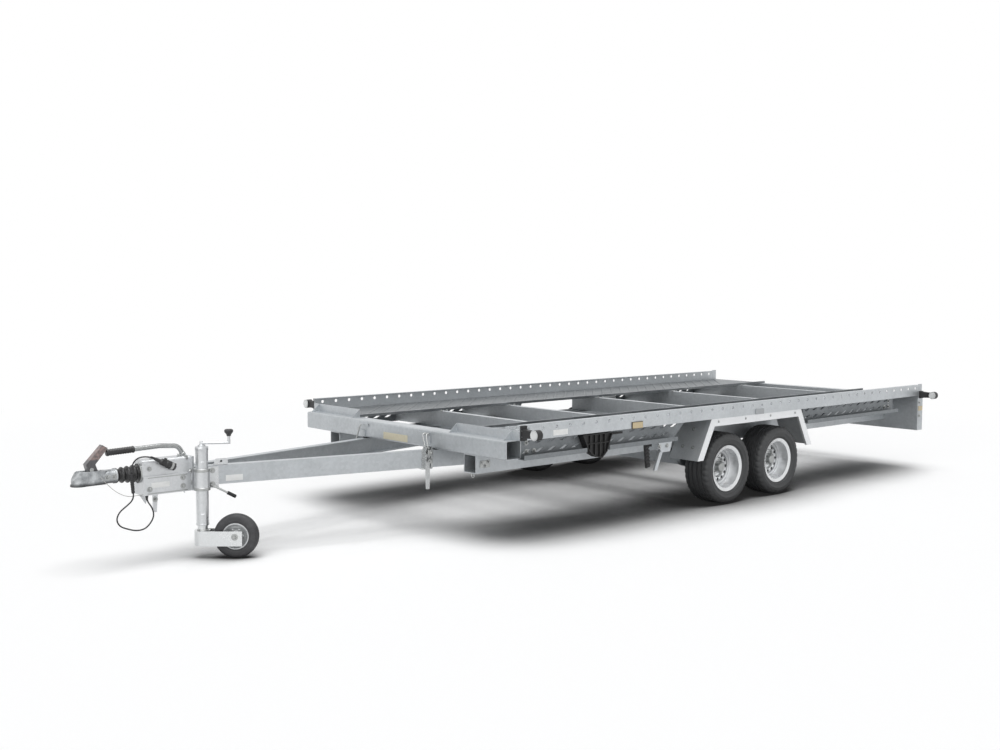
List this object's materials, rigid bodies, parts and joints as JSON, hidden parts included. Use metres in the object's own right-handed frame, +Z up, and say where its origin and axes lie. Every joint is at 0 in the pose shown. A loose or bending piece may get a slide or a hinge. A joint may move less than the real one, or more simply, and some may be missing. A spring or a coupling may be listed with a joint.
{
  "type": "car transporter trailer",
  "caption": "Galvanised tandem-axle car transporter with a V drawbar, overrun coupling, jockey wheel, ribbed wheel tracks and a tilting bed.",
  "frame": {"origin": "middle of the overall length and width, on the ground", "axes": "+X towards the coupling, +Y to the left side, +Z up"},
  "size_m": [5.99, 2.234, 0.638],
  "materials": {
    "galvanised": "hot-dip galvanised",
    "tyre_rubber": "moulded rubber",
    "silver_paint": "silver wheel paint",
    "cast_iron": "dark painted casting",
    "black_rubber": "moulded rubber",
    "red_lens": "moulded lens",
    "clear_lens": "moulded lens",
    "amber_lens": "moulded lens",
    "coupling_steel": "zinc plated",
    "black_plastic": "moulded plastic",
    "bright_wire": "plastic coated wire"
  },
  "bodies": {
    "chassis": {"axle_front": "galvanised", "axle_rear": "galvanised", "bellows": "black_rubber", "breakaway_cable": "bright_wire", "chassis_cross": "galvanised", "chassis_side_left": "galvanised", "chassis_side_right": "galvanised", "clamp_handle": "coupling_steel", "coupling_handle": "black_plastic", "coupling_head": "coupling_steel", "draw_tube": "coupling_steel", "drawbar_left": "galvanised", "drawbar_right": "galvanised", "handbrake": "galvanised", "handbrake_grip": "black_plastic", "jockey_clamp": "galvanised", "latch": "galvanised", "overrun_housing": "galvanised", "pads": "black_rubber", "plug": "black_plastic", "plug_cable": "black_rubber"},
    "bed": {"cross_members": "galvanised", "front_beam": "galvanised", "guard_bracket": "galvanised", "longitudinal_left": "galvanised", "longitudinal_right": "galvanised", "marker_lamps": "black_rubber", "marker_lenses": "clear_lens", "mudguard_left": "galvanised", "mudguard_right": "galvanised", "rear_beam": "galvanised", "side_beam_left": "galvanised", "side_beam_right": "galvanised", "side_rail_left": "galvanised", "side_rail_right": "galvanised", "side_reflectors": "amber_lens", "tail_lamps": "red_lens", "track_left": "galvanised", "track_right": "galvanised", "wheel_chock": "black_plastic", "wheel_stop_left": "galvanised", "wheel_stop_right": "galvanised"},
    "jockey_stem": {"crank_knob": "black_plastic", "jockey_crank": "galvanised", "jockey_tube": "galvanised"},
    "jockey_swivel": {"jockey_fork": "galvanised"},
    "jockey_wheel": {"jockey_rim": "silver_paint", "jockey_tyre": "tyre_rubber"},
    "wheel_front_left": {"hub_front_left": "cast_iron", "rim_front_left": "silver_paint", "tyre_front_left": "tyre_rubber"},
    "wheel_front_right": {"hub_front_right": "cast_iron", "rim_front_right": "silver_paint", "tyre_front_right": "tyre_rubber"},
    "wheel_rear_left": {"hub_rear_left": "cast_iron", "rim_rear_left": "silver_paint", "tyre_rear_left": "tyre_rubber"},
    "wheel_rear_right": {"hub_rear_right": "cast_iron", "rim_rear_right": "silver_paint", "tyre_rear_right": "tyre_rubber"}
  },
  "joints": [
    {"name": "bed_tilt", "type": "hinge", "parent": "chassis", "child": "bed", "pos_m": [-1.672, 0, 0.4], "axis": [0, -1, 0], "range_deg": [0, 12]},
    {"name": "jockey_slide", "type": "slide", "parent": "chassis", "child": "jockey_stem", "axis": [0, 0, 1], "range_m": [0, 0.11]},
    {"name": "jockey_turn", "type": "hinge", "parent": "jockey_stem", "child": "jockey_swivel", "pos_m": [2.397, 0.10562, 0.163], "axis": [0, 0, 1], "continuous": true},
    {"name": "jockey_spin", "type": "hinge", "parent": "jockey_swivel", "child": "jockey_wheel", "pos_m": [2.27438, 0.21603, 0.11], "axis": [-0.6691, -0.7431, 0], "continuous": true},
    {"name": "wheel_front_left_spin", "type": "hinge", "parent": "chassis", "child": "wheel_front_left", "pos_m": [-0.69, 0.8575, 0.2245], "axis": [0, 1, 0], "continuous": true},
    {"name": "wheel_front_right_spin", "type": "hinge", "parent": "chassis", "child": "wheel_front_right", "pos_m": [-0.69, -0.8575, 0.2245], "axis": [0, 1, 0], "continuous": true},
    {"name": "wheel_rear_left_spin", "type": "hinge", "parent": "chassis", "child": "wheel_rear_left", "pos_m": [-1.217, 0.8575, 0.2245], "axis": [0, 1, 0], "continuous": true},
    {"name": "wheel_rear_right_spin", "type": "hinge", "parent": "chassis", "child": "wheel_rear_right", "pos_m": [-1.217, -0.8575, 0.2245], "axis": [0, 1, 0], "continuous": true}
  ]
}
